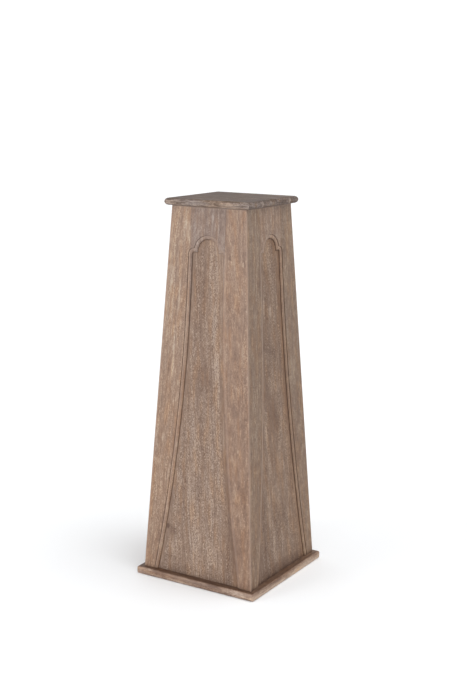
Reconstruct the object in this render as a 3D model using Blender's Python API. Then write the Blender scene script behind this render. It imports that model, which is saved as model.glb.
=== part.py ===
"""Display pedestal: a hollow tapered column of boards with an arched frame on each side,
standing on a square base board and closed by a square top slab.

Metres, +Z up. The origin is the middle of the underside, and -Y is the front.
"""
import math

import bmesh
import bpy
from mathutils import Vector
from mathutils.geometry import intersect_sphere_sphere_2d

for leftover in list(bpy.data.objects):
    bpy.data.objects.remove(leftover, do_unlink=True)

# Overall sizes
TOTAL_HEIGHT = 0.914
BASE_THICKNESS = 0.018
SLAB_THICKNESS = 0.017
COLUMN_FOOT_WIDTH = 0.3035
COLUMN_HEAD_WIDTH = 0.2022
BASE_OVERHANG = 0.0143
SLAB_OVERHANG = 0.0127

# Edges of the base board and the slab
BASE_EDGE_RADIUS = 0.005
BASE_CORNER_RADIUS = 0.005
SLAB_CORNER_RADIUS = 0.003

# Walls of the column: a panel, with a frame glued over it
PANEL_THICKNESS = 0.012
RECESS_DEPTH = 0.005

# Opening of the frame, measured at the frame's face
OPENING_FOOT_WIDTH = 0.245
OPENING_HEAD_WIDTH = 0.104
SPRINGING_DROP = 0.1095     # from the column's head down the slope to where the arch springs
SHOULDER_RADIUS = 0.0145
ARCH_RADIUS = 0.0371
ARCH_CENTRE_RISE = 0.008

# Moulding along the opening: a small step, then a quarter round down to the panel
MOULDING_WIDTH = 0.0095
STEP_DEPTH = 0.0012
STEP_WIDTH = 0.0010

# Clearance between pieces that touch
GLUE_GAP = 0.0003

# Facets of the round stretches
JAMB_FACETS = 16
SHOULDER_FACETS = 6
ARCH_FACETS = 10
MOULDING_FACETS = 5
NOSE_FACETS = 8
EDGE_FACETS = 3
CORNER_FACETS = 4

COLUMN_FOOT_Z = BASE_THICKNESS
COLUMN_HEAD_Z = TOTAL_HEIGHT - SLAB_THICKNESS
COLUMN_RISE = COLUMN_HEAD_Z - COLUMN_FOOT_Z
COLUMN_TAPER = (COLUMN_FOOT_WIDTH - COLUMN_HEAD_WIDTH) / 2
LEAN = math.atan2(COLUMN_TAPER, COLUMN_RISE)
SLOPE_LENGTH = math.hypot(COLUMN_RISE, COLUMN_TAPER)
SPRINGING_UP = SLOPE_LENGTH - SPRINGING_DROP
MITRE_SETBACK = GLUE_GAP / math.sqrt(2)

SIDES = ("front", "right", "back", "left")


def wood(name, colour, roughness):
    """A plain wood material of one colour."""
    material = bpy.data.materials.new(name)
    material.use_nodes = True
    shader = material.node_tree.nodes["Principled BSDF"]
    shader.inputs["Base Color"].default_value = (*colour, 1.0)
    shader.inputs["Roughness"].default_value = roughness
    shader.inputs["Metallic"].default_value = 0.0
    return material


def lofted_mesh(name, loops):
    """One closed body through loops of equally many points, with a flat cap at each end."""
    shape = bmesh.new()
    rings = [[shape.verts.new(point) for point in loop] for loop in loops]
    for ring, following in zip(rings, rings[1:]):
        for here in range(len(ring)):
            there = (here + 1) % len(ring)
            shape.faces.new((ring[here], ring[there], following[there], following[here]))
    shape.faces.new(rings[0])
    shape.faces.new(rings[-1])
    bmesh.ops.recalc_face_normals(shape, faces=shape.faces)
    mesh = bpy.data.meshes.new(name)
    shape.to_mesh(mesh)
    shape.free()
    return mesh


def placed(name, mesh, quarter_turns=0):
    """An object at the origin, turned about the column's axis."""
    thing = bpy.data.objects.new(name, mesh)
    thing.rotation_euler.z = quarter_turns * math.pi / 2
    bpy.context.scene.collection.objects.link(thing)
    return thing


def rounded_square(half_width, corner_radius, z):
    """Points round a level square with rounded corners."""
    points = []
    centre = half_width - corner_radius
    for corner, (x_side, y_side) in enumerate(((1, 1), (-1, 1), (-1, -1), (1, -1))):
        for step in range(CORNER_FACETS + 1):
            turn = (corner + step / CORNER_FACETS) * math.pi / 2
            x = x_side * centre + corner_radius * math.cos(turn)
            y = y_side * centre + corner_radius * math.sin(turn)
            points.append(Vector((x, y, z)))
    return points


def board_mesh(name, width, corner_radius, profile):
    """A square board whose edge follows profile, a list of (inset from the width, z)."""
    smallest_corner = 0.0005
    loops = []
    for inset, z in profile:
        radius = max(corner_radius - inset, smallest_corner)
        loops.append(rounded_square(width / 2 - inset, radius, z))
    return lofted_mesh(name, loops)


def eased_profile(bottom, top, radius, facets):
    """Edge profile of a board with its lower and upper edges rounded."""
    quarter = [step / facets * math.pi / 2 for step in range(facets + 1)]
    lower = [(radius * (1 - math.sin(a)), bottom + radius * (1 - math.cos(a))) for a in quarter]
    upper = [(radius * (1 - math.cos(a)), top - radius * (1 - math.sin(a))) for a in quarter]
    return lower + upper


def face_point(across, up, depth):
    """A point of the front side: across from the middle, up the slope, depth square into the face."""
    out = COLUMN_FOOT_WIDTH / 2 - up * math.sin(LEAN) - depth / math.cos(LEAN)
    return Vector((across, -out, COLUMN_FOOT_Z + up * math.cos(LEAN)))


def mitred_edge_point(side, up, depth):
    """A point on the mitre of the front side, on its right (side 1) or its left (side -1)."""
    point = face_point(0.0, up, depth)
    point.x = side * (-point.y - MITRE_SETBACK)
    return point


# Levels where the column's pieces start and stop, up the slope
UP_START = GLUE_GAP / math.cos(LEAN)
UP_STOP = (COLUMN_RISE - GLUE_GAP) / math.cos(LEAN)


def side_panel_mesh():
    """A flat tapered board with mitred edges, behind the frame."""
    loops = []
    for depth in (RECESS_DEPTH, RECESS_DEPTH + PANEL_THICKNESS):
        corners = ((1, UP_START), (1, UP_STOP), (-1, UP_STOP), (-1, UP_START))
        loops.append([mitred_edge_point(side, up, depth) for side, up in corners])
    return lofted_mesh("side_panel", loops)


def corner_of_arch(level, arch_radius, shoulder_x, shoulder_radius):
    """Where the middle arch leaves the shoulder: on its level run, or on its round."""
    rise = level - SPRINGING_UP - ARCH_CENTRE_RISE
    x = math.sqrt(max(arch_radius**2 - rise**2, 0.0))
    if x <= shoulder_x:
        return Vector((x, level))
    meetings = intersect_sphere_sphere_2d(
        Vector((0.0, SPRINGING_UP + ARCH_CENTRE_RISE)), arch_radius,
        Vector((shoulder_x, SPRINGING_UP)), shoulder_radius)
    return max((m for m in meetings if m is not None), key=lambda m: m.y)


def half_opening(inset):
    """The right half of the opening, from its foot to the crown, moved inset into the opening.

    The jamb is one arc, upright at the springing and sweeping outward to the foot. Above it
    come a quarter-round shoulder, a short level run and the round middle arch.
    """
    run = (OPENING_FOOT_WIDTH - OPENING_HEAD_WIDTH) / 2
    sweep = (SPRINGING_UP**2 + run**2) / (2 * run)
    jamb_radius = sweep + inset
    jamb_x = OPENING_HEAD_WIDTH / 2 + sweep
    foot_angle = math.asin((SPRINGING_UP - UP_START) / jamb_radius)
    points = []
    for step in range(JAMB_FACETS + 1):
        angle = foot_angle * (1 - step / JAMB_FACETS)
        x = jamb_x - jamb_radius * math.cos(angle)
        points.append(Vector((x, SPRINGING_UP - jamb_radius * math.sin(angle))))

    shoulder_x = OPENING_HEAD_WIDTH / 2 - SHOULDER_RADIUS
    shoulder_radius = SHOULDER_RADIUS - inset
    arch_radius = ARCH_RADIUS - inset
    level = SPRINGING_UP + shoulder_radius
    corner = corner_of_arch(level, arch_radius, shoulder_x, shoulder_radius)
    if corner.x < shoulder_x:
        last_angle, steps = math.pi / 2, SHOULDER_FACETS
    else:
        last_angle = math.atan2(corner.y - SPRINGING_UP, corner.x - shoulder_x)
        steps = SHOULDER_FACETS + 1
    for step in range(1, SHOULDER_FACETS + 1):
        angle = last_angle * step / steps
        x = shoulder_x + shoulder_radius * math.cos(angle)
        points.append(Vector((x, SPRINGING_UP + shoulder_radius * math.sin(angle))))

    centre_up = SPRINGING_UP + ARCH_CENTRE_RISE
    first_angle = math.atan2(corner.y - centre_up, corner.x)
    for step in range(ARCH_FACETS + 1):
        angle = first_angle + (math.pi / 2 - first_angle) * step / ARCH_FACETS
        x = arch_radius * math.cos(angle)
        points.append(Vector((x, centre_up + arch_radius * math.sin(angle))))
    return points


def frame_loop(depth, inset):
    """Outline of the frame at one depth, with its opening moved inset inward."""
    right = half_opening(inset)
    left = [Vector((-point.x, point.y)) for point in reversed(right[:-1])]
    corners = ((-1, UP_START), (-1, UP_STOP), (1, UP_STOP), (1, UP_START))
    loop = [face_point(point.x, point.y, depth) for point in right + left]
    loop += [mitred_edge_point(side, up, depth) for side, up in corners]
    return loop


def moulding_profile():
    """(depth, inset) of the moulding, from the frame's face to its back."""
    profile = [(0.0, 0.0), (STEP_DEPTH, 0.0)]
    back = RECESS_DEPTH - GLUE_GAP
    for step in range(MOULDING_FACETS + 1):
        angle = step / MOULDING_FACETS * math.pi / 2
        inset = STEP_WIDTH + (MOULDING_WIDTH - STEP_WIDTH) * math.sin(angle)
        profile.append((back - (back - STEP_DEPTH) * math.cos(angle), inset))
    return profile


def arch_frame_mesh():
    """A thin tapered frame with an arched opening, open at the foot and moulded along its edge."""
    return lofted_mesh("arch_frame", [frame_loop(depth, inset) for depth, inset in moulding_profile()])


def build_base_board():
    """The square foot board, its upper and lower edges eased."""
    profile = eased_profile(0.0, BASE_THICKNESS, BASE_EDGE_RADIUS, EDGE_FACETS)
    width = COLUMN_FOOT_WIDTH + 2 * BASE_OVERHANG
    mesh = board_mesh("base_board", width, BASE_CORNER_RADIUS, profile)
    mesh.materials.append(wood("base_wood", (0.27, 0.17, 0.11), 0.60))
    placed("base_board", mesh)


def build_top_slab():
    """The square display top, with a full half-round edge."""
    flat_band = 0.0002
    radius = (SLAB_THICKNESS - flat_band) / 2
    profile = eased_profile(COLUMN_HEAD_Z, TOTAL_HEIGHT, radius, NOSE_FACETS // 2)
    width = COLUMN_HEAD_WIDTH + 2 * SLAB_OVERHANG
    mesh = board_mesh("top_slab", width, SLAB_CORNER_RADIUS, profile)
    mesh.materials.append(wood("slab_wood", (0.20, 0.16, 0.13), 0.50))
    placed("top_slab", mesh)


def build_column():
    """Four panels round an empty middle, each with its frame."""
    panel = side_panel_mesh()
    panel.materials.append(wood("panel_wood", (0.32, 0.23, 0.17), 0.70))
    frame = arch_frame_mesh()
    frame.materials.append(wood("frame_wood", (0.36, 0.23, 0.16), 0.60))
    for quarter_turns, side in enumerate(SIDES):
        placed(f"side_panel_{side}", panel, quarter_turns)
        placed(f"arch_frame_{side}", frame, quarter_turns)


build_base_board()
build_column()
build_top_slab()
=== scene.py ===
"""A washed wooden display pedestal: a tapered hollow column with an arched recess on each side,
between a square base board and a square top. Metres, +Z up, -Y is the front side."""
import math

import bmesh
import bpy
from mathutils import Matrix, Vector, noise
from mathutils.geometry import intersect_point_line, intersect_sphere_sphere_2d


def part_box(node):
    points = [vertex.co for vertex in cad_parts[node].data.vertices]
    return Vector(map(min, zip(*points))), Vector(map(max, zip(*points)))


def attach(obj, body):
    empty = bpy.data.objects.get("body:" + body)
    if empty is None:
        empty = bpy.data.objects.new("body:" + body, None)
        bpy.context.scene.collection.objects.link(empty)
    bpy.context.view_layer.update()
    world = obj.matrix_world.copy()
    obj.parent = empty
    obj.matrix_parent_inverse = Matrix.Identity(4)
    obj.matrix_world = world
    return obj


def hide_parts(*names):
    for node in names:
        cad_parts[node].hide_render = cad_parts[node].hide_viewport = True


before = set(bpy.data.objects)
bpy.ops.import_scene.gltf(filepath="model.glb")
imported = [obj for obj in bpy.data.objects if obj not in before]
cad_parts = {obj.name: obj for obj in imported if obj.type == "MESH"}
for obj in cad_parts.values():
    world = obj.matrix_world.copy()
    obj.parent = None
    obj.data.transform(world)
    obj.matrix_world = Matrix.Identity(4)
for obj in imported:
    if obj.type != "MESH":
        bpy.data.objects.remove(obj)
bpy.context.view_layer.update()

# Base board
# A square board of solid wood, flat on the floor. Its grain follows each edge, as on a board lipped
# with mitred strips. The rim is eased and sanded by hand, and the top is stained and painted with shade,
# darker than the column.
BASE_EDGE_RADIUS = 0.005
BASE_EDGE_FACETS = 5
CUT_PITCH = 0.009           # spacing of the cuts across a board, which carry its wander and its marks
SANDED_WANDER = 0.00035     # how far a hand-sanded surface strays inward
STRAY_LENGTH = 0.035        # how long each such stray is
FINE_STRAYS = 4             # finer strays in each long one, half as deep
SMOOTH_ANGLE = math.radians(35)
X_STRIP_PLACE = Vector((0.06, 0.03, 0.2))       # the origin's place in the tree of the strips along X
Y_STRIP_PLACE = Vector((0.02, 0.09, 0.6))

# The top's darkening is stain and also painted shade round the column's foot.
TOP_STAIN_AND_SHADE = 0.86
TOP_STAIN_AND_SHADE_REACH = 0.0006    # how far down the eased edge the top's stain and painted shade reach
BRUSHED_STAIN = 0.55
BRUSHED_REACH = 0.011       # how far it was brushed down the right edge
# A painted contact shadow darkens the board's foot where it meets the floor.
FLOOR_CONTACT_SHADE = 0.8
FLOOR_CONTACT_SHADE_REACH = 0.0024  # painted contact shadow: the dark line where the board meets the floor
EDGE_STAIN = 0.08
CORNER_WEAR = 0.3
CORNER_WEAR_REACH = 0.036
EDGE_TONE, RIGHT_EDGE_TONE = -0.03, 0.42        # more of the wash was left on the right edge
EDGE_WARMTH, RIGHT_EDGE_WARMTH = 0.15, 0.4

RING_PITCH = 0.0042
TRUNK_SWAY = 0.016          # how far the rings sway off true circles
BARE_FLECKS = 0.3           # share of the flecks that is left where the wash was rubbed off
PORE_DEPTH = 0.0004
GLOSS_OF_GRAIN = 0.06       # how much smoother the bare rings are
DULLNESS_OF_WASH = 0.12     # and how much rougher the wash is
# colour of the stain layer, which holds real stain and painted shade: contact shadows, shade under the top
# and in corners
STAIN_AND_SHADE_TINT = (0.32, 0.22, 0.15, 1)
WARM_TINT = (1.03, 0.92, 0.78, 1)
COOL_TINT = (0.95, 0.97, 1.01, 1)
ALONG_X = Matrix(((0, 1, 0), (0, 0, 1), (1, 0, 0)))     # turns the X axis along the grain

base_low, base_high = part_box("base_board")


def swatch(red, green, blue):
    """A screen colour, 0 to 255, as the linear colour that a shader takes."""
    levels = (level / 255 for level in (red, green, blue))
    return (*(((level + 0.055) / 1.055) ** 2.4 for level in levels), 1.0)


WORN_COLOUR = swatch(163, 140, 124)


def put(tree, kind, inputs, **settings):
    """Adds a shader node; an input's value may be another node's output."""
    node = tree.nodes.new("ShaderNode" + kind)
    for name, value in settings.items():
        setattr(node, name, value)
    for socket, value in inputs.items():
        if isinstance(value, bpy.types.NodeSocket):
            tree.links.new(value, node.inputs[socket])
        else:
            node.inputs[socket].default_value = value
    return node


def calc(tree, operation, first, second):
    """One step of arithmetic."""
    return put(tree, "Math", {0: first, 1: second}, operation=operation).outputs[0]


def marks(tree, place, across, along, detail=1.5, roughness=0.5):
    """Noise drawn out along the grain, in marks about across wide and along long, from -0.5 to 0.5."""
    scale = (1 / across, 1 / across, 1 / along)
    scaled = put(tree, "Mapping", {"Vector": place, "Scale": scale})
    inputs = {"Vector": scaled.outputs["Vector"], "Scale": 1.0, "Detail": detail, "Roughness": roughness}
    return calc(tree, "SUBTRACT", put(tree, "TexNoise", inputs).outputs["Fac"], 0.5)


def fade(tree, value, low, high, start=0.0, end=1.0):
    """Goes smoothly from start to end as value goes from low to high."""
    inputs = {"Value": value, "From Min": low, "From Max": high, "To Min": start, "To Max": end}
    return put(tree, "MapRange", inputs, interpolation_type="SMOOTHSTEP").outputs["Result"]


def coat(tree, amount, under, over, blend="MIX"):
    """Lays one colour over another."""
    return put(tree, "Mix", {0: amount, 6: under, 7: over}, data_type="RGBA", blend_type=blend).outputs[2]


def attribute(tree, name, output="Fac"):
    """What the mesh's layer of this name says at each place."""
    return put(tree, "Attribute", {}, attribute_name=name).outputs[output]


def grained(name, broad, rings, hairs, flecks, clouds):
    """Bare wood as one tone, 0 to 1, about 0.5: growth rings in bands, clouds of thicker wash, hairlines,
    and flecks where the wash stayed in the pores. Returns the material, its tree and the tone."""
    material = bpy.data.materials.new(name)
    material.use_nodes = True
    tree = material.node_tree
    place = attribute(tree, "grain", "Vector")
    sway = calc(tree, "MULTIPLY", marks(tree, place, across=0.040, along=0.140, detail=1.0), TRUNK_SWAY)
    from_heart = put(tree, "VectorMath", {0: place, 1: (1, 1, 0)}, operation="MULTIPLY").outputs[0]
    radius = put(tree, "VectorMath", {0: from_heart}, operation="LENGTH").outputs["Value"]
    height = put(tree, "SeparateXYZ", {0: place}).outputs["Z"]
    ring = put(tree, "CombineXYZ", {"X": calc(tree, "ADD", radius, sway), "Z": height}).outputs[0]
    pore_bands = marks(tree, ring, across=0.0060, along=0.220)
    open_pores = fade(tree, pore_bands, low=-0.12, high=0.12, start=0.6, end=1.3)
    bare = attribute(tree, "bare")
    washed = fade(tree, bare, low=0.0, high=1.0, start=flecks, end=BARE_FLECKS * flecks)
    fleck_share = calc(tree, "MULTIPLY", washed, open_pores)
    layers = (
        (marks(tree, ring, across=0.0240, along=0.700), broad),
        (marks(tree, ring, across=RING_PITCH, along=0.130, detail=2.0), rings),
        (marks(tree, place, across=0.0020, along=0.015), hairs),
        (marks(tree, place, across=0.0085, along=0.020, detail=2.5, roughness=0.6), clouds),
        (marks(tree, place, across=0.0013, along=0.0038, detail=1.0), fleck_share),
    )
    tone = attribute(tree, "tone")
    for layer, weight in layers:
        tone = calc(tree, "ADD", calc(tree, "MULTIPLY", layer, weight), tone)
    return material, tree, calc(tree, "ADD", tone, 0.5)


def patched(tree, tone, patches):
    """Raises the tone where the wash lies thick and lowers it where it was wiped off. A patch is its
    centre, its half sizes along X, Y and Z, and its amount."""
    where = put(tree, "TexCoord", {}).outputs["Object"]
    ragged = marks(tree, where, across=0.004, along=0.009, detail=2.0)
    for centre, reach, amount in patches:
        offset = put(tree, "VectorMath", {0: where, 1: centre}, operation="SUBTRACT").outputs[0]
        share = put(tree, "VectorMath", {0: offset, 1: reach}, operation="DIVIDE").outputs[0]
        distance = put(tree, "VectorMath", {0: share}, operation="LENGTH").outputs["Value"]
        edge = calc(tree, "ADD", distance, ragged)
        tone = calc(tree, "ADD", fade(tree, edge, low=0.3, high=1.0, start=amount, end=0.0), tone)
    return tone


def washed_over(tree, tone, deep, body, wash, satin):
    """Turns the tone into colour and gloss: deep in the bare rings, whitish where the wash lies."""
    ramp = put(tree, "ValToRGB", {"Fac": tone})
    ramp.color_ramp.elements[0].color = deep
    ramp.color_ramp.elements[1].color = wash
    middle = ramp.color_ramp.elements.new(0.5)
    middle.color = body
    drift = marks(tree, attribute(tree, "grain", "Vector"), across=0.012, along=0.070)
    warm_drift = fade(tree, drift, low=0.0, high=0.18, end=0.75)
    cool_drift = fade(tree, drift, low=0.02, high=-0.15)
    warmth = calc(tree, "ADD", warm_drift, attribute(tree, "warm"))
    colour = coat(tree, warmth, ramp.outputs["Color"], WARM_TINT, "MULTIPLY")
    colour = coat(tree, cool_drift, colour, COOL_TINT, "MULTIPLY")
    # Each board's tint, which on the right side also holds painted shade.
    colour = coat(tree, 1.0, colour, attribute(tree, "tint_and_shade", "Vector"), "MULTIPLY")
    # Darkens by the stain layer: real stain and painted shade.
    colour = coat(tree, attribute(tree, "stain_and_shade"), colour, STAIN_AND_SHADE_TINT, "MULTIPLY")
    colour = coat(tree, attribute(tree, "worn"), colour, WORN_COLOUR)
    smooth, rough = satin - GLOSS_OF_GRAIN, satin + DULLNESS_OF_WASH
    shader = tree.nodes["Principled BSDF"]
    tree.links.new(colour, shader.inputs["Base Color"])
    tree.links.new(fade(tree, tone, low=0.2, high=0.9, start=smooth, end=rough), shader.inputs["Roughness"])
    bump = put(tree, "Bump", {"Height": tone, "Strength": 0.3, "Distance": PORE_DEPTH})
    tree.links.new(bump.outputs["Normal"], shader.inputs["Normal"])


def near(distance, reach):
    """1 at no distance, fading evenly to 0 at the reach."""
    return max(0.0, 1 - distance / reach)


def layers_of(shape, *names):
    """New layers that hold one number for each point."""
    return [shape.verts.layers.float.new(name) for name in names]


def lay_grain(shape, board_of):
    """Gives each face its board's place in the tree it was sawn from, Z along the grain and the heart
    at X and Y 0, and its board's own tint, which on the right side also holds painted shade."""
    grain = shape.loops.layers.float_vector.new("grain")
    tint_and_shade = shape.loops.layers.float_vector.new("tint_and_shade")
    for face in shape.faces:
        turn, shift, shade = board_of(face.calc_center_median())
        for corner in face.loops:
            corner[grain] = turn @ corner.vert.co + shift
            corner[tint_and_shade] = shade


def stray(shape, verts, reach):
    """Lets hand-sanded points of a shape wander inward, by half the reach on average."""
    bmesh.ops.recalc_face_normals(shape, faces=shape.faces)
    shape.normal_update()
    for vert in verts:
        place = vert.co / STRAY_LENGTH
        wave = noise.noise(place) + noise.noise(place * FINE_STRAYS) / 2
        vert.co -= vert.normal * reach * max(0.0, 0.5 + wave)


def cut_across(shape, axis, places):
    """Cuts the shape square to an axis at each place."""
    normal = Vector((0, 0, 0))
    normal[axis] = 1
    for place in places:
        geometry = shape.verts[:] + shape.edges[:] + shape.faces[:]
        bmesh.ops.bisect_plane(shape, geom=geometry, plane_co=normal * place, plane_no=normal)


def steps(low, high, pitch):
    """Even places between low and high, about a pitch apart, without the ends."""
    count = round((high - low) / pitch)
    return [low + (high - low) * step / count for step in range(1, count)]


def squared_timber(low, high):
    """A plain block between two corners."""
    shape = bmesh.new()
    bmesh.ops.create_cube(shape, size=1.0)
    bmesh.ops.scale(shape, vec=high - low, verts=shape.verts)
    bmesh.ops.translate(shape, vec=(low + high) / 2, verts=shape.verts)
    return shape


def finished_piece(name, shape, material, node):
    """The piece that shows in place of a CAD node."""
    mesh = bpy.data.meshes.new(name)
    shape.to_mesh(mesh)
    shape.free()
    mesh.shade_smooth()
    mesh.set_sharp_from_angle(angle=SMOOTH_ANGLE)
    mesh.materials.append(material)
    piece = bpy.data.objects.new(name, mesh)
    bpy.context.scene.collection.objects.link(piece)
    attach(piece, "root")
    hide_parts(node)


board = squared_timber(base_low, base_high)
bmesh.ops.bevel(board, geom=board.edges[:], offset=BASE_EDGE_RADIUS, offset_type="OFFSET",
                segments=BASE_EDGE_FACETS, profile=0.5, affect="EDGES", material=-1)
flat_half = base_high.x - BASE_EDGE_RADIUS
for axis in (0, 1):
    cut_across(board, axis, steps(-flat_half, flat_half, CUT_PITCH))
stain_and_shade, worn, tone, warm = layers_of(board, "stain_and_shade", "worn", "tone", "warm")
for vert in board.verts:
    below = base_high.z - vert.co.z
    to_corner = 2 * base_high.x - abs(vert.co.x) - abs(vert.co.y)
    on_right = vert.co.x > base_high.x - BASE_EDGE_RADIUS
    top_stain_and_shade = TOP_STAIN_AND_SHADE * near(below, TOP_STAIN_AND_SHADE_REACH)
    floor_contact_shade = FLOOR_CONTACT_SHADE * near(vert.co.z, FLOOR_CONTACT_SHADE_REACH)
    brushed = BRUSHED_STAIN * near(below, BRUSHED_REACH) if on_right else 0.0
    vert[stain_and_shade] = max(top_stain_and_shade, floor_contact_shade, brushed, EDGE_STAIN)
    vert[worn] = CORNER_WEAR * near(to_corner, CORNER_WEAR_REACH) if below > TOP_STAIN_AND_SHADE_REACH else 0.0
    vert[tone] = RIGHT_EDGE_TONE * min(below / BRUSHED_REACH, 1.0) if on_right else EDGE_TONE
    vert[warm] = RIGHT_EDGE_WARMTH if on_right else EDGE_WARMTH


def lipping(centre):
    """The grain follows the nearest edge."""
    if abs(centre.x) > abs(centre.y):
        return ALONG_X @ Matrix.Rotation(math.pi / 2, 3, "Z"), Y_STRIP_PLACE, Vector((1, 1, 1))
    return ALONG_X, X_STRIP_PLACE, Vector((1, 1, 1))


lay_grain(board, lipping)
off_the_floor = [vert for vert in board.verts if vert.co.z > BASE_EDGE_RADIUS / 2]
stray(board, off_the_floor, SANDED_WANDER)
BASE_PATCHES = (
    ((-0.125, -0.165, 0.016), (0.012, 0.020, 0.004), 0.35),
    ((-0.040, -0.165, 0.005), (0.050, 0.020, 0.006), 0.18),
    ((0.060, -0.165, 0.015), (0.030, 0.020, 0.006), -0.20),
    ((0.125, -0.165, 0.010), (0.045, 0.020, 0.010), 0.22),
    ((0.165, -0.060, 0.014), (0.020, 0.060, 0.006), -0.22),
    ((0.165, 0.060, 0.006), (0.020, 0.070, 0.005), 0.25),
    ((0.165, 0.140, 0.012), (0.020, 0.015, 0.008), -0.15),
)
base_wood, tree, tone = grained("base_wood", broad=1.0, rings=1.1, hairs=0.8, flecks=0.9, clouds=0.8)
tone = patched(tree, tone, BASE_PATCHES)
washed_over(tree, tone, deep=swatch(93, 66, 50), body=swatch(137, 112, 95), wash=swatch(186, 166, 149),
            satin=0.6)
finished_piece("foot_board", board, base_wood, "base_board")

# Side panels
# Four flat tapered boards mitred into a hollow column. Their faces are the floors of the recesses:
# open-grained brown wood, brushed and washed, so that whitish flecks stand in its pores.
SIDES = ("front", "right", "back", "left")      # lists for the four sides follow this order
GLUE_GAP = 0.0003
RECESS_DEPTH = 0.005
PANEL_THICKNESS = 0.012
COLUMN_FOOT_HALF = 0.15175
COLUMN_HEAD_HALF = 0.1011
OPENING_FOOT_HALF = 0.1225
OPENING_HEAD_HALF = 0.052
SPRINGING_DROP = 0.1095     # from the column's head down the slope to where the arch springs
SHOULDER_RADIUS = 0.0145
ARCH_RADIUS = 0.0371
ARCH_CENTRE_RISE = 0.008
MOULDING_WIDTH = 0.0095
JAMB_FACETS, SHOULDER_FACETS, ARCH_FACETS = 60, 14, 30

slab_low, slab_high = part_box("top_slab")
foot_z, head_z = base_high.z, slab_low.z
rise = head_z - foot_z
taper = COLUMN_FOOT_HALF - COLUMN_HEAD_HALF
lean = math.atan2(taper, rise)
slope_length = math.hypot(rise, taper)
springing_up = slope_length - SPRINGING_DROP
up_start = GLUE_GAP / math.cos(lean)
up_stop = (rise - GLUE_GAP) / math.cos(lean)
slope = Vector((0, math.sin(lean), math.cos(lean)))
outward = Vector((0, -math.cos(lean), math.sin(lean)))
sideways = Vector((1, 0, 0))


def on_front(across, up, depth):
    """A point of the front side: across from the middle, up the slope, depth into the face."""
    out = COLUMN_FOOT_HALF - up * math.sin(lean) - depth / math.cos(lean)
    return Vector((across, -out, foot_z + up * math.cos(lean)))


def half_width(up, depth):
    """Half the width between the mitres, at a depth."""
    return -on_front(0, up, depth).y - GLUE_GAP / math.sqrt(2)


def half_opening(inset):
    """Right half of the opening's outline from foot to crown, moved inset into the opening."""
    run = OPENING_FOOT_HALF - OPENING_HEAD_HALF
    sweep = (springing_up**2 + run**2) / (2 * run)
    jamb_radius = sweep + inset
    foot_angle = math.asin((springing_up - up_start) / jamb_radius)
    points = []
    for step in range(JAMB_FACETS + 1):
        angle = foot_angle * (1 - step / JAMB_FACETS)
        across = OPENING_HEAD_HALF + sweep - jamb_radius * math.cos(angle)
        points.append(Vector((across, springing_up - jamb_radius * math.sin(angle))))

    shoulder = Vector((OPENING_HEAD_HALF - SHOULDER_RADIUS, springing_up))
    crown = Vector((0, springing_up + ARCH_CENTRE_RISE))
    shoulder_radius, arch_radius = SHOULDER_RADIUS - inset, ARCH_RADIUS - inset
    level = shoulder.y + shoulder_radius
    meeting = Vector((math.sqrt(max(arch_radius**2 - (level - crown.y)**2, 0)), level))
    if meeting.x > shoulder.x:
        found = intersect_sphere_sphere_2d(crown, arch_radius, shoulder, shoulder_radius)
        meeting = max(found, key=lambda point: point.y)
    last = min(math.pi / 2, math.atan2(meeting.y - shoulder.y, meeting.x - shoulder.x))
    for step in range(1, SHOULDER_FACETS + 1):
        angle = last * step / SHOULDER_FACETS
        points.append(shoulder + shoulder_radius * Vector((math.cos(angle), math.sin(angle))))
    first = math.atan2(meeting.y - crown.y, meeting.x)
    for step in range(ARCH_FACETS + 1):
        angle = first + (math.pi / 2 - first) * step / ARCH_FACETS
        points.append(crown + arch_radius * Vector((math.cos(angle), math.sin(angle))))
    return points


def whole_opening(inset):
    """The outline from the right foot over the crown to the left foot."""
    right = half_opening(inset)
    return right + [Vector((-point.x, point.y)) for point in reversed(right[:-1])]


floor_line = [point.to_3d() for point in whole_opening(MOULDING_WIDTH)]


def from_moulding(across, up):
    """Distance along the recess's floor from the moulding."""
    here = Vector((across, up, 0))
    nearest = math.inf
    for start, end in zip(floor_line, floor_line[1:]):
        foot, share = intersect_point_line(here, start, end)
        foot = start.lerp(end, min(max(share, 0.0), 1.0))
        nearest = min(nearest, (here - foot).length)
    return nearest


BESIDE_MOULDING = (0.0, 0.0013, 0.0035, 0.008, 0.013)   # columns of points on the floor, from the moulding
MIDDLE_COLUMNS = 7
ARCH_ROW_PITCH = 0.0025


def panel_columns(up):
    """Places across the panel at one level: dense beside the moulding, open in the middle."""
    jamb = half_opening(MOULDING_WIDTH)[:JAMB_FACETS + 1]
    above = [point for point in jamb if point.y >= up] or [jamb[-1]]
    line = above[0].x
    inner = [line - step for step in BESIDE_MOULDING]
    middle = inner[-1]
    inner += [middle * (1 - step / MIDDLE_COLUMNS) for step in range(1, MIDDLE_COLUMNS)]
    right = [half_width(up, RECESS_DEPTH)] + inner
    return [-across for across in right] + [0.0] + right[::-1]


FOOT_STAIN_AND_SHADE_HEIGHTS = (0.0015, 0.004, 0.008)     # rows of points through the stain and painted shade at the foot
# stain and painted contact shadow at the column's foot, for each side
FOOT_STAINS_AND_SHADE = (0.35, 0.7, 0.5, 0.5)


def foot_stain_and_shade(side_number, up):
    """The base board's dark stain, brushed a little way up the column, with painted contact shadow where
    the column meets the board.
    """
    return FOOT_STAINS_AND_SHADE[side_number] * near(up, FOOT_STAIN_AND_SHADE_HEIGHTS[-1])


ups = [point.y for point in half_opening(MOULDING_WIDTH)[:JAMB_FACETS + 1]]
ups[1:1] = [up for up in FOOT_STAIN_AND_SHADE_HEIGHTS if up < ups[1]]
ups += steps(springing_up, springing_up + ARCH_CENTRE_RISE + ARCH_RADIUS, ARCH_ROW_PITCH) + [up_stop]
panel_rows = [(up, panel_columns(up)) for up in ups]


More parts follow.
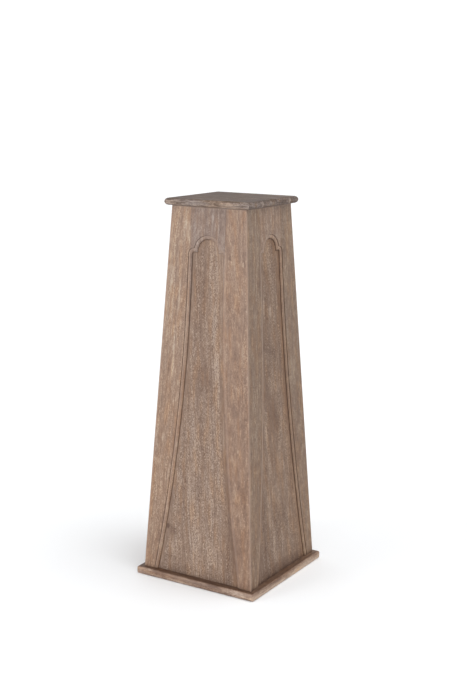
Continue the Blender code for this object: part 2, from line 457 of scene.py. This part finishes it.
LOW_SHADE_HEIGHT = 0.6        # below this the wood is painted warmer and darker, most of all at the foot, as painted shade
WARM_JAMBS = (0.3, 1.0, 0.4, 0.3)               # warmth beside each side's right jamb
WARM_WIDTH = 0.018
WARM_FOOT = 0.025           # how much wider the warm margin is at the foot
MARGIN_TONES = (-0.25, 0.15, -0.1, -0.1)        # wash left beside the right jamb, or wiped off
MARGIN_WIDTH = 0.012
RUBBED_WIDTH = 0.0135       # beside the moulding the flecks were rubbed off, mostly in the first third
CORNER_WIDTH = 0.0012       # the moulding's corner: glaze and painted shade by one jamb, whitish wash and painted light by the other
# whitish wash and painted light in the corner where it is not glazed and shaded
CORNER_WASH_AND_LIGHT = 0.3
GLAZES_AND_SHADE = ((1.0, 0.1), (0.1, 1.7), (0.7, 0.7), (0.7, 0.7))       # glaze, and painted shade on the jamb away from the light, beside the left and the right jamb
GLAZE_AND_SHADE_TURNS = (0.015, -0.010, 0.0, 0.0)         # where across the side the one gives way to the other
GLAZE_AND_SHADE_TURN_WIDTH = 0.03
PANEL_SPOT_UP = 0.4         # the spot in the middle of a panel whose place in the tree is given
PANEL_HEARTS = ((0.16, 0.03, 0), (0.02, 0.11, 2), (0.13, 0.05, 4), (-0.1, 0.06, 6))
# the right side's tint is darker and olive, partly as painted shade on that side
PANEL_TINTS_AND_SHADE = ((0.99, 0.985, 0.955), (0.885, 0.845, 0.775), (1, 0.99, 0.96), (1, 0.98, 0.94))
PANEL_GRAIN_LEAN = math.radians(4)


def glaze_and_painted_shade(side_number, across):
    """How dark the moulding's corner is, from its left to its right jamb: glaze, and painted shade on the
    jamb away from the light.
    """
    left, right = GLAZES_AND_SHADE[side_number]
    share = min(max(0.5 + (across - GLAZE_AND_SHADE_TURNS[side_number]) / GLAZE_AND_SHADE_TURN_WIDTH, 0.0), 1.0)
    return left + (right - left) * share


def corner_wash_and_light(side_number, across, up):
    """How much whitish wash and painted light fill the moulding's corner where it is not glazed and shaded;
    less towards the foot.
    """
    return CORNER_WASH_AND_LIGHT * max(0.0, 1 - glaze_and_painted_shade(side_number, across)) * min(up / LOW_SHADE_HEIGHT, 1.0) ** 2


def sawn(spot, from_heart, lean=0.0, runout=0.0):
    """The turn and shift into a board's tree: a spot on the front side lies from_heart away from
    the tree's heart, and the grain leans to the left and runs out of the face."""
    along = slope * math.cos(lean) - sideways * math.sin(lean) + outward * math.tan(runout)
    along.normalize()
    across = along.cross(outward).normalized()
    turn = Matrix((across, across.cross(along), along))
    return turn, from_heart - turn @ spot


def panel_shape(side_number):
    """One mitred board with the marks of its floor."""
    shape = bmesh.new()
    columns = len(panel_rows[0][1])
    bmesh.ops.create_grid(shape, x_segments=columns - 1, y_segments=len(panel_rows) - 1, size=1.0)
    shape.verts.ensure_lookup_table()
    stain_and_shade, bare, warm, tone = layers_of(shape, "stain_and_shade", "bare", "warm", "tone")
    for number, vert in enumerate(shape.verts):
        up, places = panel_rows[number // columns]
        across = places[number % columns]
        distance = from_moulding(across, up)
        in_corner = near(distance, CORNER_WIDTH)
        low_shade = near(up, LOW_SHADE_HEIGHT)
        vert.co = on_front(across, up, RECESS_DEPTH)
        vert[stain_and_shade] = max(glaze_and_painted_shade(side_number, across) * in_corner, foot_stain_and_shade(side_number, up))
        vert[bare] = min(1.5 * near(distance, RUBBED_WIDTH), 1.0)
        vert[tone] = corner_wash_and_light(side_number, across, up) * in_corner
        if across > 0:
            vert[warm] = WARM_JAMBS[side_number] * near(distance, WARM_WIDTH + WARM_FOOT * low_shade)
            vert[tone] += MARGIN_TONES[side_number] * low_shade * near(distance, MARGIN_WIDTH)
    grown = bmesh.ops.extrude_face_region(shape, geom=shape.faces[:])["geom"]
    behind = [part for part in grown if isinstance(part, bmesh.types.BMVert)]
    for vert in behind:
        vert.co -= outward * PANEL_THICKNESS
        limit = -vert.co.y - GLUE_GAP / math.sqrt(2)
        vert.co.x = min(max(vert.co.x, -limit), limit)
    bmesh.ops.recalc_face_normals(shape, faces=shape.faces)
    spot = on_front(0, PANEL_SPOT_UP, 0)
    board = sawn(spot, Vector(PANEL_HEARTS[side_number]), lean=PANEL_GRAIN_LEAN)
    lay_grain(shape, lambda centre: (*board, PANEL_TINTS_AND_SHADE[side_number]))
    return shape


def quarter_turns(side_number):
    """The turn round the column from the front side to another."""
    return Matrix.Rotation(side_number * math.pi / 2, 3, "Z")


def turned_to(shape, side_number):
    """Turns a shape of the front side round the column."""
    bmesh.ops.rotate(shape, cent=(0, 0, 0), matrix=quarter_turns(side_number), verts=shape.verts)


PATCH_DEPTH = 0.03


def on_side(side_number, across, up, half_across, half_up, amount):
    """A patch on one side: its place across and up, its half sizes and its amount."""
    reach = quarter_turns(side_number) @ Vector((half_across, PATCH_DEPTH, half_up))
    centre = quarter_turns(side_number) @ on_front(across, up, 0)
    return centre, tuple(abs(size) for size in reach), amount


# Each patch is its side, its place across and up, its half sizes and its amount
PANEL_PATCHES = (
    (0, -0.0900, 0.112, 0.0065, 0.0080, -1.0),
    (0, -0.0740, 0.104, 0.0180, 0.0140, -0.2),
    (0, -0.0050, 0.480, 0.0400, 0.0550, -0.16),
    (0, 0.0980, 0.120, 0.0250, 0.1300, -0.22),
    (0, -0.0700, 0.062, 0.0220, 0.0300, 0.20),
    (0, 0.0350, 0.062, 0.0350, 0.0450, 0.06),
    (0, 0.0320, 0.520, 0.0090, 0.0550, 0.25),
    (0, 0.0080, 0.740, 0.0060, 0.0600, 0.14),
    (0, -0.0080, 0.680, 0.0060, 0.1100, -0.14),
    (0, 0.0000, 0.010, 0.1400, 0.0180, -0.10),
    (1, -0.0350, 0.655, 0.0060, 0.0400, 0.40),
    (1, -0.0080, 0.635, 0.0100, 0.0180, 0.30),
    (1, -0.0450, 0.345, 0.0050, 0.0300, 0.35),
    (1, -0.0200, 0.335, 0.0040, 0.0180, 0.25),
    (1, 0.0000, 0.012, 0.1300, 0.0220, -0.30),
    (1, -0.0600, 0.360, 0.0080, 0.0600, -0.22),
    (1, 0.0000, 0.380, 0.0300, 0.0500, -0.12),
    (1, 0.0680, 0.130, 0.0200, 0.1000, 0.16),
    (1, -0.0300, 0.075, 0.0050, 0.0400, 0.35),
    (1, 0.0100, 0.090, 0.0060, 0.0500, 0.30),
    (1, -0.0450, 0.150, 0.0060, 0.0600, 0.25),
    (1, -0.0700, 0.060, 0.0070, 0.0500, -0.25),
)
panel_wood, tree, tone = grained("panel_wood", broad=0.6, rings=0.85, hairs=0.5, flecks=2.0, clouds=0.45)
tone = patched(tree, tone, [on_side(*patch) for patch in PANEL_PATCHES])
washed_over(tree, tone, deep=swatch(86, 60, 44), body=swatch(122, 98, 82), wash=swatch(165, 146, 132),
            satin=0.68)
for side_number, side in enumerate(SIDES):
    shape = panel_shape(side_number)
    turned_to(shape, side_number)
    finished_piece(f"panel_{side}", shape, panel_wood, f"side_panel_{side}")

# Arch frames
# Four thin tapered frames glued on the panels and mitred at the arrises. Each is cut from a blank of
# three boards, each of its own tint: two stiles, whose grain follows their edges, and a head between.
# The right side's tints are darker and olive, partly as painted shade on that side.
STEP_DEPTH = 0.0012
STEP_WIDTH = 0.0010
STEP_FLAT = 0.0009          # the flat of the step, before the quarter round starts
STEP_EASE = 0.0004          # how much the step's sharp edge was sanded off
MOULDING_FROM = 0.00108     # what lies deeper than this belongs to the moulding
ARRIS_RADIUS = 0.0010
ARRIS_FACETS = 3
OVOLO_FACETS = 12
SEAM_ACROSS = 0.047
SEAM_HALF_WIDTH = 0.0004
SEAM_DEPTH = 0.0003
SEAM_STAIN = 0.2

MITRE_STAIN = 0.5
ARRIS_WEAR = 0.45
BESIDE_ARRIS_WEAR = 0.15
BESIDE_ARRIS = 0.0030
ARRIS_WEAR_REACH = 0.0060
BESIDE_STEP = 0.0025        # the line on the face where the step's wear ends
STEP_WEAR = 0.1
OVOLO_WEAR = 0.3            # on the outer edge of the quarter round
GLAZE_AND_SHADE_SHARE = 0.4           # the part of the quarter round that is darkened with glaze and painted shade
HEAD_SHADE_HEIGHT = 0.003   # painted shade under the top's overhang, a dark line at the column's head
# Painted shade that deepens towards the foot: the frames are warmer and darker low down.
LOW_SHADE_WARMTH = 0.4
LOW_SHADE_TONE = -0.04
MOULDING_WARMTH = 0.7       # of the warmth beside the right jamb

TAN = (1.05, 1.06, 1.02)
GREY = (0.80, 0.84, 0.92)
PINK = (0.98, 0.955, 0.91)
SHADED_OLIVE = (0.82, 0.83, 0.78)
UMBER = (0.93, 0.94, 0.93)
# the right side's boards are darker and olive, partly as painted shade on that side
BOARD_TINTS_AND_SHADE = ((TAN, GREY, PINK), (SHADED_OLIVE, UMBER, SHADED_OLIVE), (PINK, TAN, UMBER), (UMBER, PINK, TAN))
BOARD_HEARTS = ((0.09, 0.05, 0.0), (0.14, 0.02, 0.5), (0.004, 0.045, 1.0))     # left, head and right
NEXT_BLANK = Vector((0.012, 0, 1.3))            # from one side's blank to the next side's, in the tree
BOARD_SPOT_IN = 0.05        # the spot of a stile whose place in the tree is given, from its mitre
BOARD_SPOT_UP = 0.28
BOARD_RUNOUT = math.radians(2)
STILE_LEAN = math.atan2(taper, slope_length)


def border(from_neighbour, depth):
    """The outline of the frame near its mitres and head, with as many points as the opening's."""
    head = up_stop - from_neighbour
    right = []
    jamb_ups = [point.y for point in half_opening(0)[:JAMB_FACETS + 1]]
    rest = SHOULDER_FACETS + ARCH_FACETS + 1
    climb = rest // 4       # these go up the mitre, and the others along the head
    jamb_ups += [springing_up + (head - springing_up) * step / climb for step in range(1, climb + 1)]
    for up in jamb_ups:
        point = on_front(0, up, depth)
        right.append(Vector((half_width(up, from_neighbour), point.y, point.z)))
    corner = right[-1]
    for step in range(1, rest - climb + 1):
        right.append(Vector((corner.x * (1 - step / (rest - climb)), corner.y, corner.z)))
    return right + [Vector((-point.x, point.y, point.z)) for point in reversed(right[:-1])]


def cut_line(inset, depth):
    """The opening's outline at one depth."""
    return [on_front(point.x, point.y, depth) for point in whole_opening(inset)]


def marked(line, stain_and_shade=0.0, worn=0.0):
    """A line with how dark it is stained and painted with shade, and how bare it is worn."""
    return line, stain_and_shade, worn


def frame_lines():
    """Lines round the frame, each with its stain and painted shade and its wear, from the back of the
    mitre, over the rounded arris, the face and the moulding, to the panel."""
    lines = [marked(border(RECESS_DEPTH, RECESS_DEPTH), stain_and_shade=MITRE_STAIN)]
    for step in range(ARRIS_FACETS, -1, -1):
        angle = step / ARRIS_FACETS * math.pi / 4
        from_mitre = ARRIS_RADIUS * (1 - math.sin(angle))
        depth = ARRIS_RADIUS * (1 - math.cos(angle))
        lines.append(marked(border(from_mitre, depth), worn=ARRIS_WEAR))
    lines += [
        marked(border(BESIDE_ARRIS, 0.0), worn=BESIDE_ARRIS_WEAR),
        marked(border(ARRIS_WEAR_REACH, 0.0)),
        marked(cut_line(-BESIDE_STEP, 0.0)),
        marked(cut_line(-STEP_EASE, 0.0), worn=STEP_WEAR),
        # The step's corner is darkened with stain and painted shade.
        marked(cut_line(-STEP_EASE / 4, STEP_EASE / 4), stain_and_shade=0.1, worn=STEP_WEAR),
        marked(cut_line(0.0, STEP_EASE), stain_and_shade=0.5),
        marked(cut_line(0.0, STEP_DEPTH), stain_and_shade=1.0),
        marked(cut_line(STEP_FLAT, STEP_DEPTH), stain_and_shade=0.8),
    ]
    for step in range(OVOLO_FACETS + 1):
        share = step / OVOLO_FACETS
        angle = share * math.pi / 2
        inset = STEP_WIDTH + (MOULDING_WIDTH - STEP_WIDTH) * math.sin(angle)
        depth = RECESS_DEPTH - (RECESS_DEPTH - STEP_DEPTH) * math.cos(angle)
        glaze_and_shade = near(1 - share, GLAZE_AND_SHADE_SHARE)
        lines.append(marked(cut_line(inset, depth), stain_and_shade=glaze_and_shade, worn=OVOLO_WEAR * (1 - share)))
    return lines


def frame_shape(side_number):
    """One frame, its boards' seams cut as fine grooves above the arch."""
    shape = bmesh.new()
    stain_and_shade, worn, warm, tone, inner = layers_of(shape, "stain_and_shade", "worn", "warm", "tone", "inner")
    rows = []
    for line, darkening, rubbed in frame_lines():
        verts = [shape.verts.new(point) for point in line]
        for vert in verts:
            vert[stain_and_shade] = darkening * glaze_and_painted_shade(side_number, vert.co.x)
            vert[worn] = rubbed
            vert[inner] = darkening
        rows.append([shape.edges.new(pair) for pair in zip(verts, verts[1:])])
    for row, following in zip(rows, rows[1:] + rows[:1]):
        bmesh.ops.bridge_loops(shape, edges=row + following)
    foot_edges = [edge for edge in shape.edges if edge.is_boundary]
    bmesh.ops.holes_fill(shape, edges=foot_edges, sides=0)
    for side in (-1, 1):
        for offset in (-SEAM_HALF_WIDTH, 0.0, SEAM_HALF_WIDTH):
            cut_across(shape, 0, [side * SEAM_ACROSS + offset])
    cut_across(shape, 2, [foot_z + height for height in FOOT_STAIN_AND_SHADE_HEIGHTS])
    for vert in shape.verts:
        up = (vert.co - on_front(0, 0, 0)).dot(slope)
        depth = -(vert.co - on_front(0, 0, 0)).dot(outward)
        on_seam = depth < STEP_EASE / 8 and abs(abs(vert.co.x) - SEAM_ACROSS) < SEAM_HALF_WIDTH / 2
        if on_seam and up > springing_up + SHOULDER_RADIUS:
            vert.co -= outward * SEAM_DEPTH
            vert[stain_and_shade] = SEAM_STAIN
        # Painted shade under the top's overhang, in the stain layer.
        head_shade = near(up_stop - up, HEAD_SHADE_HEIGHT)
        vert[stain_and_shade] = max(vert[stain_and_shade], foot_stain_and_shade(side_number, up), head_shade)
        # Painted shade, warmer and darker towards the foot.
        low_shade = near(up, LOW_SHADE_HEIGHT)
        vert[warm] = LOW_SHADE_WARMTH * low_shade
        vert[tone] = corner_wash_and_light(side_number, vert.co.x, up) * vert[inner] + LOW_SHADE_TONE * low_shade
        if depth > MOULDING_FROM and vert.co.x > 0:
            vert[warm] += MOULDING_WARMTH * WARM_JAMBS[side_number]
            vert[tone] += MARGIN_TONES[side_number] * low_shade
    bmesh.ops.recalc_face_normals(shape, faces=shape.faces)

    def frame_board(centre):
        """The board of the blank that a place was cut from."""
        side = 0 if abs(centre.x) < SEAM_ACROSS else int(math.copysign(1, centre.x))
        heart = Vector(BOARD_HEARTS[side + 1]) + NEXT_BLANK * side_number
        spot = on_front(side * (COLUMN_FOOT_HALF - BOARD_SPOT_IN), BOARD_SPOT_UP, 0)
        turn, shift = sawn(spot, heart, lean=side * STILE_LEAN, runout=BOARD_RUNOUT)
        return turn, shift, BOARD_TINTS_AND_SHADE[side_number][side + 1]

    lay_grain(shape, frame_board)
    return shape


FRAME_PATCHES = (
    (0, 0.0620, 0.769, 0.0040, 0.0100, -0.45),
    (0, 0.0650, 0.760, 0.0020, 0.0030, 0.80),
    (0, 0.0970, 0.757, 0.0025, 0.0080, 0.60),
    (0, 0.0120, 0.858, 0.0040, 0.0140, 0.35),
    (0, 0.0190, 0.838, 0.0035, 0.0160, 0.25),
    (0, -0.0300, 0.830, 0.0150, 0.0400, 0.10),
    (0, 0.0400, 0.800, 0.0080, 0.0300, 0.28),
    (0, -0.0620, 0.830, 0.0080, 0.0400, 0.22),
    (0, -0.0720, 0.700, 0.0060, 0.0900, 0.14),
    (0, -0.0850, 0.520, 0.0070, 0.1100, 0.22),
    (0, -0.1080, 0.500, 0.0120, 0.1200, -0.15),
    (0, 0.1080, 0.120, 0.0250, 0.1400, -0.14),
    (0, 0.1020, 0.325, 0.0020, 0.0080, 0.45),
    (0, 0.1060, 0.247, 0.0080, 0.0180, -0.28),
    (1, -0.0900, 0.650, 0.0300, 0.3500, -0.08),
    (1, 0.0850, 0.800, 0.0250, 0.1000, 0.14),
    (1, 0.0750, 0.480, 0.0200, 0.0600, 0.25),
    (1, 0.1000, 0.330, 0.0150, 0.0200, 0.25),
)
frame_wood, tree, tone = grained("frame_wood", broad=0.6, rings=0.9, hairs=0.7, flecks=1.2, clouds=0.8)
tone = patched(tree, tone, [on_side(*patch) for patch in FRAME_PATCHES])
washed_over(tree, tone, deep=swatch(94, 67, 51), body=swatch(130, 103, 85), wash=swatch(168, 149, 133),
            satin=0.6)
for side_number, side in enumerate(SIDES):
    shape = frame_shape(side_number)
    turned_to(shape, side_number)
    finished_piece(f"frame_{side}", shape, frame_wood, f"arch_frame_{side}")

# Top
# A square board glued from four narrow widths, its edge shaped to a full half round. Its flat is
# greyer and darker than its edge, whose half round is painted lighter for the light it catches, and its
# end grain shows on the right and left.
TOP_CORNER_RADIUS = 0.0022
TOP_CORNER_FACETS = 4
NOSE_FACETS = 9
NOSE_FLAT = 0.0001          # half of the narrow flat left in the middle of the half round
TOP_JOINTS_Y = (-0.046, 0.014, 0.073)
TOP_PLACES = (              # the origin's place in the tree of each width
    (0.08, 0.03, 0.0),
    (0.05, 0.045, 0.7),
    (0.02, 0.03, 1.4),
    (-0.01, 0.045, 2.1),
)
TOP_SHADES = (1.0, 0.94, 1.0, 0.94)
NOSE_PAINTED_LIGHT = 0.22            # the half round is painted lighter than the flat, for the light it catches
# the end grain's half rounds, right and left, are painted only a little lighter, for the shade on the right
END_GRAIN_PAINTED_LIGHT = 0.04
TOP_GLOSS = 0.2
LEVEL_WITHIN = 1e-6
ON_DIAGONAL_WITHIN = 1e-5
nose_radius = (slab_high.z - slab_low.z) / 2 - NOSE_FLAT

board = squared_timber(slab_low, slab_high)
rims = [edge for edge in board.edges if abs(edge.verts[0].co.z - edge.verts[1].co.z) < LEVEL_WITHIN]
bmesh.ops.bevel(board, geom=rims, offset=nose_radius, offset_type="OFFSET", segments=NOSE_FACETS,
                profile=0.5, affect="EDGES", material=-1)
diagonal = [edge for edge in board.edges
            if all(abs(abs(vert.co.x) - abs(vert.co.y)) < ON_DIAGONAL_WITHIN for vert in edge.verts)]
bmesh.ops.bevel(board, geom=diagonal, offset=TOP_CORNER_RADIUS, offset_type="OFFSET",
                segments=TOP_CORNER_FACETS, profile=0.5, affect="EDGES", material=-1, clamp_overlap=True)
flat_half = slab_high.x - nose_radius - TOP_CORNER_RADIUS
for axis in (0, 1):
    cut_across(board, axis, steps(-flat_half, flat_half, CUT_PITCH))
cut_across(board, 1, TOP_JOINTS_Y)


def top_width(centre):
    """Grain along X, in four widths."""
    number = sum(centre.y > joint for joint in TOP_JOINTS_Y)
    return ALONG_X, Vector(TOP_PLACES[number]), Vector((1, 1, 1)) * TOP_SHADES[number]


bmesh.ops.recalc_face_normals(board, faces=board.faces)
lay_grain(board, top_width)
tone = layers_of(board, "tone")[0]
for vert in board.verts:
    round_share = min((slab_high.z - vert.co.z) / nose_radius, 1.0)
    on_end_grain = abs(vert.co.x) > abs(vert.co.y)
    vert[tone] = (END_GRAIN_PAINTED_LIGHT if on_end_grain else NOSE_PAINTED_LIGHT) * round_share
TOP_PATCHES = (
    ((-0.030, -0.114, 0.903), (0.035, 0.020, 0.004), 0.22),
    ((-0.100, -0.114, 0.905), (0.020, 0.020, 0.008), 0.12),
    ((0.030, -0.114, 0.905), (0.015, 0.020, 0.008), -0.20),
    ((0.060, -0.114, 0.907), (0.020, 0.020, 0.004), 0.12),
    ((0.100, -0.114, 0.905), (0.015, 0.020, 0.008), -0.12),
    ((0.114, -0.052, 0.905), (0.020, 0.005, 0.009), 0.25),
    ((0.114, -0.015, 0.905), (0.020, 0.025, 0.009), 0.15),
    ((0.114, 0.040, 0.906), (0.020, 0.024, 0.008), -0.20),
    ((0.114, 0.073, 0.905), (0.020, 0.005, 0.009), 0.30),
)
top_wood, tree, tone = grained("slab_wood", broad=0.7, rings=0.85, hairs=0.9, flecks=0.8, clouds=0.5)
tone = patched(tree, tone, TOP_PATCHES)
washed_over(tree, tone, deep=swatch(60, 47, 40), body=swatch(95, 81, 73), wash=swatch(156, 141, 131),
            satin=0.7)
tree.nodes["Principled BSDF"].inputs["Specular IOR Level"].default_value = TOP_GLOSS
finished_piece("top_board", board, top_wood, "top_slab")

# Studio
# A white floor under a white sky that is brightest at the horizon. A high lamp on the right throws the
# short soft shadow to the left, and a low one in front lifts the front side.
FLOOR_HALF_WIDTH = 12.0
FLOOR_COLOUR = (0.94, 0.955, 0.97, 1)
FLOOR_ROUGHNESS = 0.9
SKY_AT_HORIZON, SKY_OVERHEAD = 1.25, 0.5

floor_shape = bmesh.new()
bmesh.ops.create_grid(floor_shape, x_segments=1, y_segments=1, size=FLOOR_HALF_WIDTH)
floor_mesh = bpy.data.meshes.new("floor")
floor_shape.to_mesh(floor_mesh)
floor_shape.free()
floor = bpy.data.objects.new("floor", floor_mesh)
bpy.context.scene.collection.objects.link(floor)
paint = bpy.data.materials.new("floor_paint")
paint.use_nodes = True
paint.node_tree.nodes["Principled BSDF"].inputs["Base Color"].default_value = FLOOR_COLOUR
paint.node_tree.nodes["Principled BSDF"].inputs["Roughness"].default_value = FLOOR_ROUGHNESS
floor_mesh.materials.append(paint)


def lamp(name, azimuth, elevation, spread, energy):
    """A far soft lamp; azimuth 0 shines from the front and 90 from the right, in degrees."""
    turn, tilt = math.radians(azimuth), math.radians(elevation)
    towards = Vector((math.sin(turn) * math.cos(tilt), -math.cos(turn) * math.cos(tilt), math.sin(tilt)))
    light = bpy.data.lights.new(name, "SUN")
    light.angle = math.radians(spread)
    light.energy = energy
    holder = bpy.data.objects.new(name, light)
    holder.rotation_euler = towards.to_track_quat("Z", "Y").to_euler()
    bpy.context.scene.collection.objects.link(holder)


lamp("high_lamp", azimuth=90, elevation=68, spread=45, energy=1.3)
lamp("front_lamp", azimuth=-30, elevation=7, spread=25, energy=1.5)
world = bpy.data.worlds.new("studio")
world.use_nodes = True
tree = world.node_tree
height = put(tree, "SeparateXYZ", {0: put(tree, "TexCoord", {}).outputs["Generated"]}).outputs["Z"]
from_horizon = calc(tree, "ABSOLUTE", height, 0.0)
strength = fade(tree, from_horizon, low=0.0, high=1.0, start=SKY_AT_HORIZON, end=SKY_OVERHEAD)
tree.links.new(strength, tree.nodes["Background"].inputs["Strength"])
tree.nodes["Background"].inputs["Color"].default_value = (1, 1, 1, 1)
bpy.context.scene.world = world
bpy.context.scene.view_settings.view_transform = "Standard"

# Camera
# Where the photograph was taken from: a little above the top, with the front side on the left.
EYE = Vector((1.4995, -2.4296, 1.1577))
AIM = Vector((0.0046, 0.0028, 0.5476))
ROLL = math.radians(0.390)
SENSOR_WIDTH = 36.0         # millimetres, as the lens is
LENS = 62.60

camera = bpy.data.objects.new("camera", bpy.data.cameras.new("camera"))
camera.data.sensor_width = SENSOR_WIDTH
camera.data.lens = LENS
camera.location = EYE
facing = (EYE - AIM).to_track_quat("Z", "Y") @ Matrix.Rotation(ROLL, 3, "Z").to_quaternion()
camera.rotation_euler = facing.to_euler()
bpy.context.scene.collection.objects.link(camera)
bpy.context.scene.camera = camera
